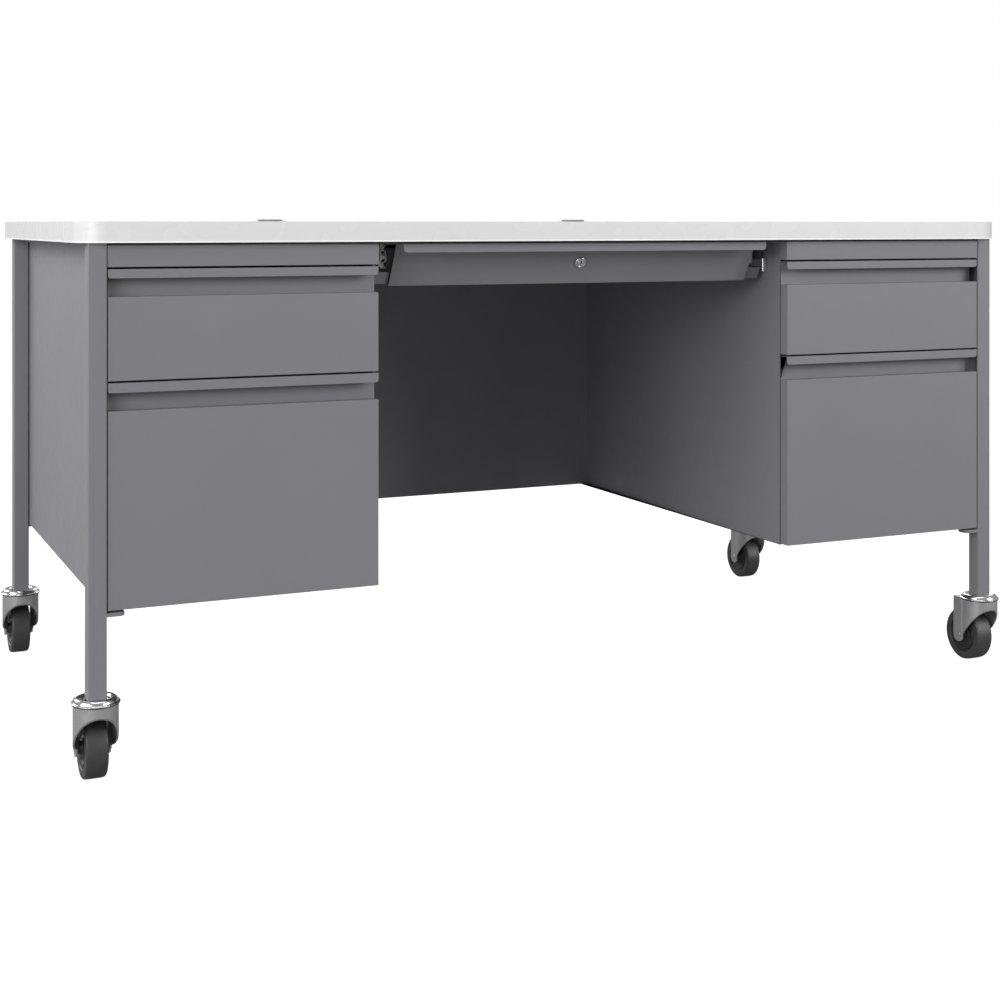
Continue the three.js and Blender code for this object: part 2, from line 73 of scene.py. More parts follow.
# ---------------------------------------------------------------- materials
class Recipe:
    """A Principled material whose colour, roughness and bump come from procedural textures."""

    def __init__(self, name, color, roughness, metallic=0.0, specular=0.5):
        self.material = bpy.data.materials.new(name)
        self.material.use_nodes = True
        self.tree = self.material.node_tree
        self.shader = next(n for n in self.tree.nodes if n.type == "BSDF_PRINCIPLED")
        self.shader.inputs["Metallic"].default_value = metallic
        self.shader.inputs["Specular IOR Level"].default_value = specular
        self.color = color
        self.roughness = roughness
        self.coords = self.tree.nodes.new("ShaderNodeTexCoord")
        self.height = None

    def link(self, output, target):
        self.tree.links.new(output, target)

    def stretched(self, scale):
        mapping = self.tree.nodes.new("ShaderNodeMapping")
        mapping.inputs["Scale"].default_value = scale
        self.link(self.coords.outputs["Object"], mapping.inputs["Vector"])
        return mapping.outputs["Vector"]

    def noise(self, scale, detail=2.0, stretch=(1, 1, 1)):
        texture = self.tree.nodes.new("ShaderNodeTexNoise")
        texture.inputs["Scale"].default_value = scale
        texture.inputs["Detail"].default_value = detail
        self.link(self.stretched(stretch), texture.inputs["Vector"])
        return texture.outputs["Fac"]

    def ranged(self, value, low, high, start=0.3, end=0.7):
        node = self.tree.nodes.new("ShaderNodeMapRange")
        node.inputs["From Min"].default_value = start
        node.inputs["From Max"].default_value = end
        node.inputs["To Min"].default_value = low
        node.inputs["To Max"].default_value = high
        self.link(value, node.inputs["Value"])
        return node.outputs["Result"]

    def tint(self, value, spread):
        """Colour that wanders by `spread` either side of the base with a texture."""
        mix = self.tree.nodes.new("ShaderNodeMix")
        mix.data_type = "RGBA"
        mix.inputs["A"].default_value = (*(c * (1 - spread) for c in self.color), 1)
        mix.inputs["B"].default_value = (*(c * (1 + spread) for c in self.color), 1)
        self.link(self.ranged(value, 0, 1), mix.inputs["Factor"])
        self.link(mix.outputs["Result"], self.shader.inputs["Base Color"])

    def gloss(self, value, spread):
        low, high = self.roughness - spread, self.roughness + spread
        self.link(self.ranged(value, low, high), self.shader.inputs["Roughness"])

    def bump(self, value, strength, depth):
        node = self.tree.nodes.new("ShaderNodeBump")
        node.inputs["Strength"].default_value = strength
        node.inputs["Distance"].default_value = depth
        self.link(value, node.inputs["Height"])
        if self.height:
            self.link(self.height, node.inputs["Normal"])
        self.height = node.outputs["Normal"]
        self.link(self.height, self.shader.inputs["Normal"])


def powder_coat():
    recipe = Recipe("powder_coat", (0.209, 0.206, 0.222), 0.5, specular=0.4)
    recipe.tint(recipe.noise(5.0, 3.0), 0.022)
    recipe.gloss(recipe.noise(60.0), 0.05)
    recipe.bump(recipe.noise(900.0, 2.0), 0.07, 0.00006)
    recipe.bump(recipe.noise(260.0, 1.0), 0.05, 0.0001)
    return recipe.material


def laminate():
    recipe = Recipe("laminate", (0.70, 0.70, 0.70), 0.42)
    recipe.tint(recipe.noise(420.0, 3.0), 0.012)
    recipe.gloss(recipe.noise(140.0), 0.05)
    recipe.bump(recipe.noise(1500.0, 2.0), 0.1, 0.00006)
    return recipe.material


def edge_band():
    """White edging, with a painted highlight along the rounded lower edge: the base colour turns near white there.
    """
    recipe = Recipe("edge_band", (0.755, 0.755, 0.755), 0.27)
    recipe.tint(recipe.noise(14.0, 2.0), 0.012)
    # Painted highlight: the base colour turns near white over the band's lowest 2 mm and fades back by 2.8 mm.
    split = recipe.tree.nodes.new("ShaderNodeSeparateXYZ")
    recipe.link(recipe.coords.outputs["Object"], split.inputs[0])
    painted_highlight = recipe.tree.nodes.new("ShaderNodeMix")
    painted_highlight.data_type = "RGBA"
    painted_highlight.inputs["B"].default_value = (0.98, 0.98, 0.98, 1)
    highlight_top, fade_end = band_low.z + 2.0 * MM, band_low.z + 2.8 * MM
    edge = recipe.ranged(split.outputs["Z"], 1, 0, highlight_top, fade_end)
    recipe.link(edge, painted_highlight.inputs["Factor"])
    base = recipe.shader.inputs["Base Color"]
    recipe.link(base.links[0].from_socket, painted_highlight.inputs["A"])
    recipe.link(painted_highlight.outputs["Result"], base)
    recipe.gloss(recipe.noise(24.0, 1.0), 0.015)
    recipe.bump(recipe.noise(40.0, 1.0), 0.004, 0.00005)
    return recipe.material


def grommet_plastic():
    recipe = Recipe("grommet_plastic", (0.23, 0.23, 0.235), 0.42)
    recipe.tint(recipe.noise(60.0, 3.0), 0.03)
    recipe.gloss(recipe.noise(200.0), 0.05)
    recipe.bump(recipe.noise(2200.0, 2.0), 0.12, 0.00005)
    return recipe.material


def chrome():
    recipe = Recipe("chrome", (0.66, 0.66, 0.67), 0.16, metallic=1.0)
    recipe.tint(recipe.noise(30.0, 2.0), 0.02)
    recipe.gloss(recipe.noise(120.0, 4.0), 0.03)
    recipe.bump(recipe.noise(60.0, 1.0), 0.01, 0.00005)
    return recipe.material


def zinc_plate():
    recipe = Recipe("zinc_plate", (0.42, 0.42, 0.425), 0.36, metallic=0.6)
    recipe.tint(recipe.noise(80.0, 3.0), 0.04)
    recipe.gloss(recipe.noise(240.0, 3.0), 0.05)
    recipe.bump(recipe.noise(1300.0, 2.0), 0.08, 0.00006)
    return recipe.material


def slide_steel():
    recipe = Recipe("slide_steel", (0.84, 0.84, 0.85), 0.24, metallic=1.0)
    recipe.tint(recipe.noise(500.0, 2.0, (1.0, 0.02, 1.0)), 0.04)
    recipe.gloss(recipe.noise(700.0, 2.0, (1.0, 0.02, 1.0)), 0.06)
    recipe.bump(recipe.noise(1600.0, 1.0, (1.0, 0.01, 1.0)), 0.04, 0.00003)
    return recipe.material


def tyre_rubber():
    recipe = Recipe("tyre_rubber", (0.048, 0.048, 0.049), 0.46, specular=0.45)
    recipe.tint(recipe.noise(90.0, 3.0), 0.08)
    recipe.gloss(recipe.noise(220.0), 0.06)
    recipe.bump(recipe.noise(1400.0, 2.0), 0.16, 0.0001)
    return recipe.material


def hub_plastic():
    recipe = Recipe("hub_plastic", (0.026, 0.026, 0.027), 0.5)
    recipe.tint(recipe.noise(70.0, 2.0), 0.08)
    recipe.gloss(recipe.noise(180.0), 0.05)
    recipe.bump(recipe.noise(1800.0, 2.0), 0.1, 0.00006)
    return recipe.material


FLOOR_BOUNCE = 0.3
FLOOR_GLOW = 0.055
FLOOR_WHITE = 0.9
FLOOR_FADE = (1.5, 4.0)  # metres from the desk's middle over which the floor turns white


def floor_paint():
    """Pale floor: near white to the camera, and a softer, slightly glowing surface to the desk."""
    recipe = Recipe("studio_floor", (FLOOR_BOUNCE,) * 3, 0.9, specular=0.0)
    recipe.tint(recipe.noise(1.5, 2.0), 0.004)
    recipe.shader.inputs["Emission Color"].default_value = (1, 1, 1, 1)
    recipe.shader.inputs["Emission Strength"].default_value = FLOOR_GLOW
    bright = recipe.tree.nodes.new("ShaderNodeEmission")
    distance = recipe.tree.nodes.new("ShaderNodeVectorMath")
    distance.operation = "LENGTH"
    recipe.link(recipe.coords.outputs["Object"], distance.inputs[0])
    whiter_outward = recipe.ranged(distance.outputs["Value"], FLOOR_WHITE, 1.0, *FLOOR_FADE)
    recipe.link(whiter_outward, bright.inputs["Strength"])
    seen = recipe.tree.nodes.new("ShaderNodeAddShader")
    recipe.link(recipe.shader.outputs["BSDF"], seen.inputs[0])
    recipe.link(bright.outputs["Emission"], seen.inputs[1])
    path = recipe.tree.nodes.new("ShaderNodeLightPath")
    mix = recipe.tree.nodes.new("ShaderNodeMixShader")
    recipe.link(path.outputs["Is Camera Ray"], mix.inputs["Fac"])
    recipe.link(recipe.shader.outputs["BSDF"], mix.inputs[1])
    recipe.link(seen.outputs["Shader"], mix.inputs[2])
    output = next(n for n in recipe.tree.nodes if n.type == "OUTPUT_MATERIAL")
    recipe.link(mix.outputs["Shader"], output.inputs["Surface"])
    return recipe.material


powder, white_top, white_band = powder_coat(), laminate(), edge_band()
plastic, mirror, zinc, steel = grommet_plastic(), chrome(), zinc_plate(), slide_steel()
rubber, hub_black = tyre_rubber(), hub_plastic()
BY_SLOT = {
    "grey_powder_coat": powder,
    "white_laminate": white_top,
    "white_edge_band": white_band,
    "grommet_plastic": plastic,
    "chrome": mirror,
    "zinc_plate": zinc,
    "slide_steel": steel,
    "black_rubber": rubber,
}


# ---------------------------------------------------------------- mesh helpers
def soften(obj, width, segments=2, angle=35.0):
    """Rounds an object's sharp edges and keeps its flat faces flat."""
    bevel = obj.modifiers.new("round_edges", "BEVEL")
    bevel.width = width
    bevel.segments = segments
    bevel.limit_method = "ANGLE"
    bevel.angle_limit = math.radians(angle)
    bevel.use_clamp_overlap = True
    bevel.harden_normals = False
    weight = obj.modifiers.new("even_shading", "WEIGHTED_NORMAL")
    weight.keep_sharp = False


def dress_cad(name, material, width, segments=2):
    """A CAD node that keeps its shape: welded, edges rounded, and its own material."""
    obj = frame["nodes"][name]
    mesh = obj.data
    if "custom_normal" in mesh.attributes:
        mesh.attributes.remove(mesh.attributes["custom_normal"])
    mesh.shade_smooth()
    weld = obj.modifiers.new("weld", "WELD")
    weld.merge_threshold = 0.00001
    flat = obj.modifiers.new("join_flat_faces", "DECIMATE")
    flat.decimate_type = "DISSOLVE"
    flat.angle_limit = math.radians(0.5)
    soften(obj, width, segments)
    mesh.materials.clear()
    mesh.materials.append(material)


def add_piece(name, mesh, material, body, stands_for=()):
    obj = bpy.data.objects.new(name, mesh)
    bpy.context.scene.collection.objects.link(obj)
    mesh.materials.clear()
    mesh.materials.append(material)
    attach(obj, body)
    if stands_for:
        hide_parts(*stands_for)
    return obj


def mesh_of(name, build):
    """A new mesh filled by `build`, which gets a bmesh."""
    mesh = bpy.data.meshes.new(name)
    work = bmesh.new()
    build(work)
    bmesh.ops.remove_doubles(work, verts=work.verts, dist=1e-7)
    bmesh.ops.recalc_face_normals(work, faces=work.faces)
    work.to_mesh(mesh)
    work.free()
    mesh.shade_smooth()
    return mesh


def fillet(points, radius, steps=4, closed=False):
    """A polyline with its corners rounded, each by `radius` or as much as fits."""
    rounded = []
    count = len(points)
    for i, corner in enumerate(points):
        if not closed and i in (0, count - 1):
            rounded.append(tuple(corner))
            continue
        here = Vector(corner)
        before = Vector(points[i - 1]) - here
        after = Vector(points[(i + 1) % count]) - here
        bend = before.angle(after, math.pi)
        if bend > math.radians(165):
            rounded.append(tuple(corner))
            continue
        reach = min(radius / math.tan(bend / 2), before.length * 0.45, after.length * 0.45)
        start = here + before.normalized() * reach
        end = here + after.normalized() * reach
        for k in range(steps + 1):
            t = k / steps
            rounded.append(tuple(start * (1 - t) ** 2 + here * 2 * t * (1 - t) + end * t ** 2))
    return rounded


def lathe(work, profile, segments, place=Matrix.Identity(4), closed=True):
    """Turns a profile of (radius, height) about the Z axis of `place`."""
    rings = []
    for k in range(segments):
        turn = 2 * math.pi * k / segments
        across, along = math.cos(turn), math.sin(turn)
        rings.append([work.verts.new(place @ Vector((r * across, r * along, z))) for r, z in profile])
    spans = len(profile) if closed else len(profile) - 1
    for k in range(segments):
        ring, following = rings[k], rings[(k + 1) % segments]
        for i in range(spans):
            j = (i + 1) % len(profile)
            work.faces.new((ring[i], following[i], following[j], ring[j]))


def prism(work, outline, low, high, place=Matrix.Identity(4)):
    """A closed outline in X and Y of `place`, from `low` to `high` along its Z."""
    bottom = [work.verts.new(place @ Vector((x, y, low))) for x, y in outline]
    top = [work.verts.new(place @ Vector((x, y, high))) for x, y in outline]
    work.faces.new(bottom[::-1])
    work.faces.new(top)
    for i in range(len(outline)):
        j = (i + 1) % len(outline)
        work.faces.new((bottom[i], bottom[j], top[j], top[i]))


def combine(base, tool, operation):
    """The mesh of `base` joined with, cut by or kept inside `tool`."""
    objects = []
    for mesh in (base, tool):
        obj = bpy.data.objects.new("operand", mesh)
        bpy.context.scene.collection.objects.link(obj)
        objects.append(obj)
    change = objects[0].modifiers.new("boolean", "BOOLEAN")
    change.operation = operation
    change.solver = "EXACT"
    change.object = objects[1]
    bpy.context.view_layer.update()
    view = bpy.context.evaluated_depsgraph_get()
    result = bpy.data.meshes.new_from_object(objects[0].evaluated_get(view))
    for obj in objects:
        bpy.data.objects.remove(obj)
    return result


def bezier(a, b, c, d, steps):
    points = []
    for k in range(steps + 1):
        t = k / steps
        s = 1 - t
        weights = (s ** 3, 3 * s * s * t, 3 * s * t * t, t ** 3)
        points.append(tuple(sum(w * v for w, v in zip(weights, axis)) for axis in zip(a, b, c, d)))
    return points


def rectangle(xa, xb, ya, yb):
    return [(xa, ya), (xb, ya), (xb, yb), (xa, yb)]


# The axes of a profile drawn in Y and Z and run along X.
ALONG_X = Matrix(((0, 0, 1, 0), (1, 0, 0, 0), (0, 1, 0, 0), (0, 0, 0, 1)))


# ---------------------------------------------------------------- carried-over CAD nodes
REPLACED_ENDINGS = ("_caster_stem", "_caster_fork", "_caster_wheel", "_grommet_sleeve", "_grommet_cap")
ROUNDING = {
    "grey_powder_coat": 0.8 * MM,
    "white_laminate": 0.3 * MM,
    "white_edge_band": 0.9 * MM,
    "slide_steel": 0.35 * MM,
}


def dress_frame():
    for part in frame["record"]["subparts"]:
        name, slot = part["node"], part["material_slot"]
        if name.endswith(REPLACED_ENDINGS) or name.startswith("lock_"):
            continue
        dress_cad(name, BY_SLOT[slot], ROUNDING[slot], 3 if slot == "white_edge_band" else 2)


# ---------------------------------------------------------------- casters
class Caster:
    """Sizes of one caster in metres, about its stem's axis, from its CAD nodes."""

    def __init__(self, corner):
        stem_low, stem_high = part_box(corner + "_caster_stem")
        fork_low, fork_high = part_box(corner + "_caster_fork")
        wheel_low, wheel_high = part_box(corner + "_caster_wheel")
        self.corner = corner
        self.axis = Vector(((stem_low.x + stem_high.x) / 2, (stem_low.y + stem_high.y) / 2, 0))
        self.cap_radius = (stem_high.x - stem_low.x) / 2
        self.cap_bottom = stem_low.z
        self.fork_top = fork_high.z
        self.skirt = (fork_high.x - fork_low.x) / 2
        self.tip_bottom = fork_low.z
        self.cheek_back = fork_high.y - self.axis.y
        self.hub_half = (wheel_high.x - wheel_low.x) / 2
        self.wheel_radius = (wheel_high.z - wheel_low.z) / 2
        self.axle_z = (wheel_high.z + wheel_low.z) / 2
        self.trail = (wheel_high.y + wheel_low.y) / 2 - self.axis.y
        self.leg_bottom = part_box(corner + "_leg")[0].z


CHEEK = 23 * MM  # outer face of a flat cheek, from the caster's middle
CHEEK_FRONT = 16.5 * MM
CREASE = 1.1 * MM
FORK_METAL = 2.5 * MM
TREAD_HALF = 15 * MM
TYRE_BORE = 29.5 * MM
ARCH_TOP = 93 * MM
CAP_HEIGHT = 8.2 * MM
SEAL = 1.2 * MM  # height of the dust seal


def fork_plan(size, inset):
    """Half a circle round the front, sides drawn in to a crease, then two parallel cheeks."""
    radius, cheek = size.skirt - inset, CHEEK - inset
    front = [(radius * math.cos(a), radius * math.sin(a))
             for a in (math.pi + math.pi * k / 48 for k in range(49))]
    side = bezier((radius, 0), (radius, CHEEK_FRONT * 0.5), (cheek + 2 * MM, CHEEK_FRONT * 0.8),
                  (cheek - CREASE, CHEEK_FRONT), 12)[1:]
    side += [(cheek, CHEEK_FRONT + CREASE), (cheek, 60 * MM)]
    return front + side + [(-x, y) for x, y in reversed(side)]


def fork_side(size):
    """The fork from the side: rounded cheek ends, and an arch that rises to the front of the skirt."""
    tip = size.axle_z - size.tip_bottom
    top = size.fork_top + 1 * MM
    outline = [(size.cheek_back, top), (-size.skirt - 1 * MM, top), (-size.skirt - 1 * MM, ARCH_TOP)]
    outline += bezier(
        (-size.skirt, ARCH_TOP),
        (-CHEEK_FRONT, ARCH_TOP - tip),
        (CHEEK_FRONT * 0.3, size.axle_z + 3 * MM),
        (size.trail - tip, size.axle_z + 1 * MM),
        28,
    )
    for k in range(1, 25):
        angle = math.pi + math.pi * k / 24
        outline.append((size.trail + tip * math.cos(angle), size.axle_z + tip * math.sin(angle)))
    return outline


def fork_mesh(size):
    top, metal = size.fork_top, FORK_METAL
    shell = mesh_of("shell", lambda work: prism(work, fork_plan(size, 0), 10 * MM, top))
    hollow = mesh_of("hollow", lambda work: prism(work, fork_plan(size, metal), 5 * MM, top - metal))
    sides = mesh_of("sides", lambda work: prism(work, fork_side(size), -60 * MM, 60 * MM, ALONG_X))
    rear_outline = rectangle(-CHEEK + metal, CHEEK - metal, size.skirt * 0.6, 90 * MM)
    rear = mesh_of("rear", lambda work: prism(work, rear_outline, 0, top - metal))
    mesh = combine(shell, sides, "INTERSECT")
    mesh = combine(mesh, hollow, "DIFFERENCE")
    return combine(mesh, rear, "DIFFERENCE")


def cap_profile(size):
    """The chrome cap: a rolled rim round a shallow dish that the leg stands in."""
    r, low, dish = size.cap_radius, size.cap_bottom, size.leg_bottom - 0.3 * MM
    high = low + CAP_HEIGHT
    rim = fillet([
        (r - 3 * MM, low + SEAL), (r - 0.5 * MM, low + SEAL), (r, low + SEAL + 0.9 * MM),
        (r - 0.8 * MM, low + SEAL + 1.6 * MM), (r - 2.6 * MM, low + SEAL + 1.9 * MM),
    ], 0.8 * MM, 4)
    crown = bezier(
        (r - 2.9 * MM, low + SEAL + 2.2 * MM),
        (r - 4.5 * MM, high + 1.4 * MM),
        (r - 9.5 * MM, high + 1.6 * MM),
        (r - 14.5 * MM, dish),
        16,
    )
    return [(4 * MM, low)] + rim + crown + [(4 * MM, dish)]


def seal_profile(size):
    """The dark dust seal between the cap's rim and the fork."""
    edge, low = size.cap_radius - 0.4 * MM, size.cap_bottom
    return [
        (edge - 5 * MM, low), (edge - 0.4 * MM, low), (edge, low + SEAL / 2),
        (edge - 0.2 * MM, low + SEAL), (edge - 5 * MM, low + SEAL),
    ]


def tyre_profile(size):
    r, half = size.wheel_radius, TREAD_HALF
    side = [(r, half - 6 * MM), (r - 0.5 * MM, half - 1.7 * MM), (r - 2.2 * MM, half - 0.2 * MM),
            (r - 6 * MM, half), (TYRE_BORE + 1 * MM, half), (TYRE_BORE, half - 1.5 * MM)]
    outline = side + [(radius, -x) for radius, x in reversed(side)]
    return fillet(outline, 1.2 * MM, 4, closed=True)


def hub_profile(size):
    half, face = TREAD_HALF, size.hub_half
    side = [
        (TYRE_BORE - 0.2 * MM, half - 2.6 * MM),
        (26.5 * MM, half - 3.4 * MM), (25.5 * MM, half - 1.2 * MM),
        (23 * MM, half - 1.2 * MM), (22 * MM, half - 4.4 * MM), (14.5 * MM, half - 4.4 * MM),
        (13.5 * MM, half - 2 * MM), (10 * MM, half - 1.6 * MM), (8.6 * MM, face), (4.2 * MM, face),
    ]
    outline = side + [(r, -x) for r, x in reversed(side)]
    return fillet(outline, 0.7 * MM, 3, closed=True)


def axle_profile():
    """A plain pin with a low riveted head at each end."""
    r, inside, out = 4 * MM, CHEEK - FORK_METAL, CHEEK + 0.5 * MM
    end = [(0, out), (3.5 * MM, out), (4.6 * MM, CHEEK + 0.05 * MM), (4.6 * MM, inside), (r, inside)]
    return end + [(radius, -x) for radius, x in reversed(end)]


def build_casters():
    for corner in CORNERS:
        size = Caster(corner)
        post = Matrix.Translation(size.axis)
        axle = Matrix.Translation(size.axis + Vector((0, size.trail, size.axle_z))) @ Matrix.Rotation(
            math.pi / 2, 4, "Y")

        cap = mesh_of("cap", lambda work: lathe(work, cap_profile(size), 96, post))
        add_piece(corner + "_cap", cap, mirror, "frame", [corner + "_caster_stem"])

        washer = mesh_of("seal", lambda work: lathe(work, seal_profile(size), 96, post))
        add_piece(corner + "_dust_seal", washer, hub_black, "frame")

        fork = fork_mesh(size)
        fork.transform(post)
        fork.shade_smooth()
        holder = add_piece(corner + "_fork_shell", fork, zinc, corner + "_fork",
                           [corner + "_caster_fork"])
        soften(holder, 0.7 * MM, 3, 32)

        pin = mesh_of("pin", lambda work: lathe(work, axle_profile(), 40, axle, closed=False))
        add_piece(corner + "_axle", pin, zinc, corner + "_fork")

        tyre = mesh_of("tyre", lambda work: lathe(work, tyre_profile(size), 112, axle))
        add_piece(corner + "_tyre", tyre, rubber, corner + "_wheel",
                  [corner + "_caster_wheel"])
        hub = mesh_of("hub", lambda work: lathe(work, hub_profile(size), 96, axle))
        add_piece(corner + "_hub", hub, hub_black, corner + "_wheel")


# ---------------------------------------------------------------- grommets
def grommet_sleeve(low_z, high_z, seat, flange, tube, lip):
    """A tube through the worktop under a flat flange, with a lip inward that the lid rests on."""
    bore = tube - 2 * MM
    under_lip = seat - 1.2 * MM
    return fillet([
        (bore, low_z), (tube, low_z), (tube, seat), (flange, seat),
        (flange - 0.6 * MM, high_z), (lip, high_z), (lip, under_lip), (bore, under_lip),
    ], 0.5 * MM, 3, closed=True)


def grommet_lid(bottom, top, skirt_low, radius, lip):
    """A shallow disc with a thickened rim, and a skirt that drops inside the lip."""
    inside, outside = lip - 2.2 * MM, lip - 0.7 * MM
    middle = top - 0.4 * MM
    return fillet([
        (0, bottom), (inside, bottom), (inside, skirt_low), (outside, skirt_low), (outside, bottom),
        (radius, bottom), (radius, top - 1 * MM), (radius - 1.2 * MM, top),
        (radius - 3 * MM, middle), (0, middle),
    ], 0.5 * MM, 3)


def build_grommets():
    """Cable grommets: a flanged sleeve in the worktop, and a lift-off lid with a cord notch."""
    for side, _ in SIDES:
        low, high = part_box(side + "_grommet_sleeve")
        cap_low, cap_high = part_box(side + "_grommet_cap")
        place = Matrix.Translation(((low.x + high.x) / 2, (low.y + high.y) / 2, 0))
        flange = (high.x - low.x) / 2
        tube = flange - 5.5 * MM
        lip = tube - 6 * MM
        seat = worktop_high.z + 0.3 * MM

        sleeve = grommet_sleeve(low.z, high.z, seat, flange, tube, lip)
        ring = mesh_of("sleeve", lambda work: lathe(work, sleeve, 96, place))
        add_piece(side + "_grommet_ring", ring, plastic, "frame",
                  [side + "_grommet_sleeve"])

        radius = (cap_high.x - cap_low.x) / 2
        lid = grommet_lid(cap_low.z, cap_high.z, seat - 6 * MM, radius, lip)
        disc = mesh_of("disc", lambda work: lathe(work, lid, 96, place, closed=False))
        cord_gap = rectangle(-8 * MM, 8 * MM, 12 * MM, 40 * MM)
        above = cap_high.z + 5 * MM
        notch = mesh_of("notch", lambda work: prism(work, cord_gap, low.z, above, place))
        lid_mesh = combine(disc, notch, "DIFFERENCE")
        lid_mesh.shade_smooth()
        lid_piece = add_piece(side + "_grommet_disc", lid_mesh, plastic,
                              side + "_grommet_lid", [side + "_grommet_cap"])
        soften(lid_piece, 0.3 * MM, 2, 40)


# ---------------------------------------------------------------- lock
def lock_place():
    """The lock's own axes: Z out of the drawer's sloping face, Y up along it, from the lock's joint."""
    joint = next(j for j in frame["joints"] if j["name"] == "lock_turn")
    out = Vector(joint["axis"]).normalized()
    across = Vector((1, 0, 0))
    up = out.cross(across)
    turn = Matrix((across, up, out)).transposed().to_4x4()
    return Matrix.Translation(joint["pos_m"]) @ turn


def build_lock():
    place = lock_place()
    flange, proud, body, plug, length = 9.3 * MM, 3 * MM, 8 * MM, 5.6 * MM, 17 * MM
    bore = plug + 0.2 * MM
    barrel = fillet([
        (bore, -length), (body, -length), (body, 0.3 * MM), (flange, 0.3 * MM),
        (flange, proud - 1.3 * MM), (flange - 1.5 * MM, proud), (bore + 1.1 * MM, proud),
        (bore, proud - 0.7 * MM),
    ], 0.5 * MM, 4, closed=True)
    ring = mesh_of("barrel", lambda work: lathe(work, barrel, 80, place))
    add_piece("lock_ring", ring, mirror, "centre_drawer", ["lock_barrel"])

    face = proud - 0.4 * MM
    core = [
        (0, -length - 1 * MM), (plug, -length - 1 * MM), (plug, face - 0.5 * MM), (plug - 0.5 * MM, face),
        (0, face),
    ]
    plug_mesh = mesh_of("plug", lambda work: lathe(work, core, 64, place, closed=False))
    slot = rectangle(-0.75 * MM, 0.75 * MM, -3.5 * MM, 3.5 * MM)
    keyway = mesh_of("keyway", lambda work: prism(work, slot, face - 6 * MM, face + 2 * MM, place))
    ward_slot = rectangle(0, 1.7 * MM, -0.9 * MM, 0.8 * MM)
    ward = mesh_of("ward", lambda work: prism(work, ward_slot, face - 5 * MM, face + 2 * MM, place))
    plug_mesh = combine(combine(plug_mesh, keyway, "DIFFERENCE"), ward, "DIFFERENCE")
    cam_reach = 19 * MM
    cam_outline = fillet(
        [(-4 * MM, -5 * MM), (cam_reach, -3.5 * MM), (cam_reach, 3.5 * MM), (-4 * MM, 5 * MM)],
        2.5 * MM, 5, closed=True)
    cam_low, cam_high = -length - 2.3 * MM, -length - 0.3 * MM
    cam = mesh_of("cam", lambda work: prism(work, cam_outline, cam_low, cam_high, place))
    core_mesh = combine(plug_mesh, cam, "UNION")
    core_mesh.shade_smooth()
    core_piece = add_piece("lock_core_piece", core_mesh, mirror, "lock_core", ["lock_plug"])
    soften(core_piece, 0.15 * MM, 2, 40)


# ---------------------------------------------------------------- slides and fixings
def ball(work, centre, radius):
    bmesh.ops.create_icosphere(work, subdivisions=2, radius=radius, matrix=Matrix.Translation(centre))


def ribbon(points, metal):
    """The closed outline of a bent strip of sheet `metal` thick, whose middle runs along `points`."""
    left, right = [], []
    for i, point in enumerate(points):
        before = Vector(points[max(i - 1, 0)])
        after = Vector(points[min(i + 1, len(points) - 1)])
        along = (after - before).normalized()
        across = Vector((-along.y, along.x)) * metal / 2
        here = Vector(point)
        left.append(tuple(here + across))
        right.append(tuple(here - across))
    return left + right[::-1]


SLIDE_METAL = 1.5 * MM
CENTRE_SLIDE_REACH = 12.1 * MM
BALL = 1.9 * MM


def mirrored(points):
    """A half profile carried on below its middle height."""
    return points + [(a, -b) for a, b in reversed(points)]


def slide_shapes(reach, half):
    """A ball slide's three members in section: outer rail, ball cage and inner rail.

    Each point is (distance from the wall, height above the middle).
    """
    near = SLIDE_METAL / 2
    outer = mirrored([
        (reach * 0.80, half - 3.0 * MM), (reach * 0.76, half - 1.0 * MM), (reach * 0.52, half - near),
        (reach * 0.26, half - 1.2 * MM), (near, half - 4.2 * MM),
    ])
    cage = mirrored([
        (reach * 0.78, half - 5.2 * MM), (reach * 0.50, half - 3.9 * MM),
        (reach * 0.28, half - 5.6 * MM), (reach * 0.20, half - 9.6 * MM),
    ])
    inner = mirrored([
        (reach * 0.42, half - 9.4 * MM), (reach * 0.58, half - 8.4 * MM),
        (reach * 0.82, half - 9.4 * MM), (reach - near, half - 12 * MM),
    ])
    return outer, cage, inner


def slide_mesh(name, x, toward, z, low, high, section):
    """A slide member: its section in X and Z, run from `low` to `high` along Y."""
    place = Matrix(((toward, 0, 0, x), (0, 0, 1, 0), (0, 1, 0, z), (0, 0, 0, 1)))
    outline = ribbon(fillet(section, 1.6 * MM, 4), SLIDE_METAL)
    return mesh_of(name, lambda work: prism(work, outline, low, high, place))


def build_centre_slides():
    """Ball slides of the centre drawer, with curled rails, a cage, and balls between them."""
    for side, sign in SIDES:
        rail_low, rail_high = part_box(f"centre_{side}_slide_rail")
        run_low, run_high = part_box(f"centre_{side}_slide_runner")
        wall = max(abs(rail_low.x), abs(rail_high.x)) * sign
        reach = CENTRE_SLIDE_REACH
        z = (rail_low.z + rail_high.z) / 2
        half = (rail_high.z - rail_low.z) / 2
        outer, cage, inner = slide_shapes(reach, half)
        rail = slide_mesh("rail", wall, -sign, z, rail_low.y, rail_high.y, outer)
        add_piece(f"centre_{side}_rail", rail, steel, "frame",
                  [f"centre_{side}_slide_rail"])
        between = slide_mesh("cage", wall, -sign, z, run_low.y, run_high.y, cage)
        add_piece(f"centre_{side}_cage", between, steel, "centre_runners",
                  [f"centre_{side}_slide_runner"])
        member = slide_mesh("inner", wall, -sign, z, run_low.y + 1 * MM, run_high.y - 1 * MM, inner)
        add_piece(f"centre_{side}_inner_rail", member, steel, "centre_drawer")
        build_balls(side, wall - sign * reach * 0.56, z, half - 6.3 * MM, run_low.y)
        build_cage_end(side, wall - sign * 4.2 * MM, -sign * 6.2 * MM, z, run_low.y)


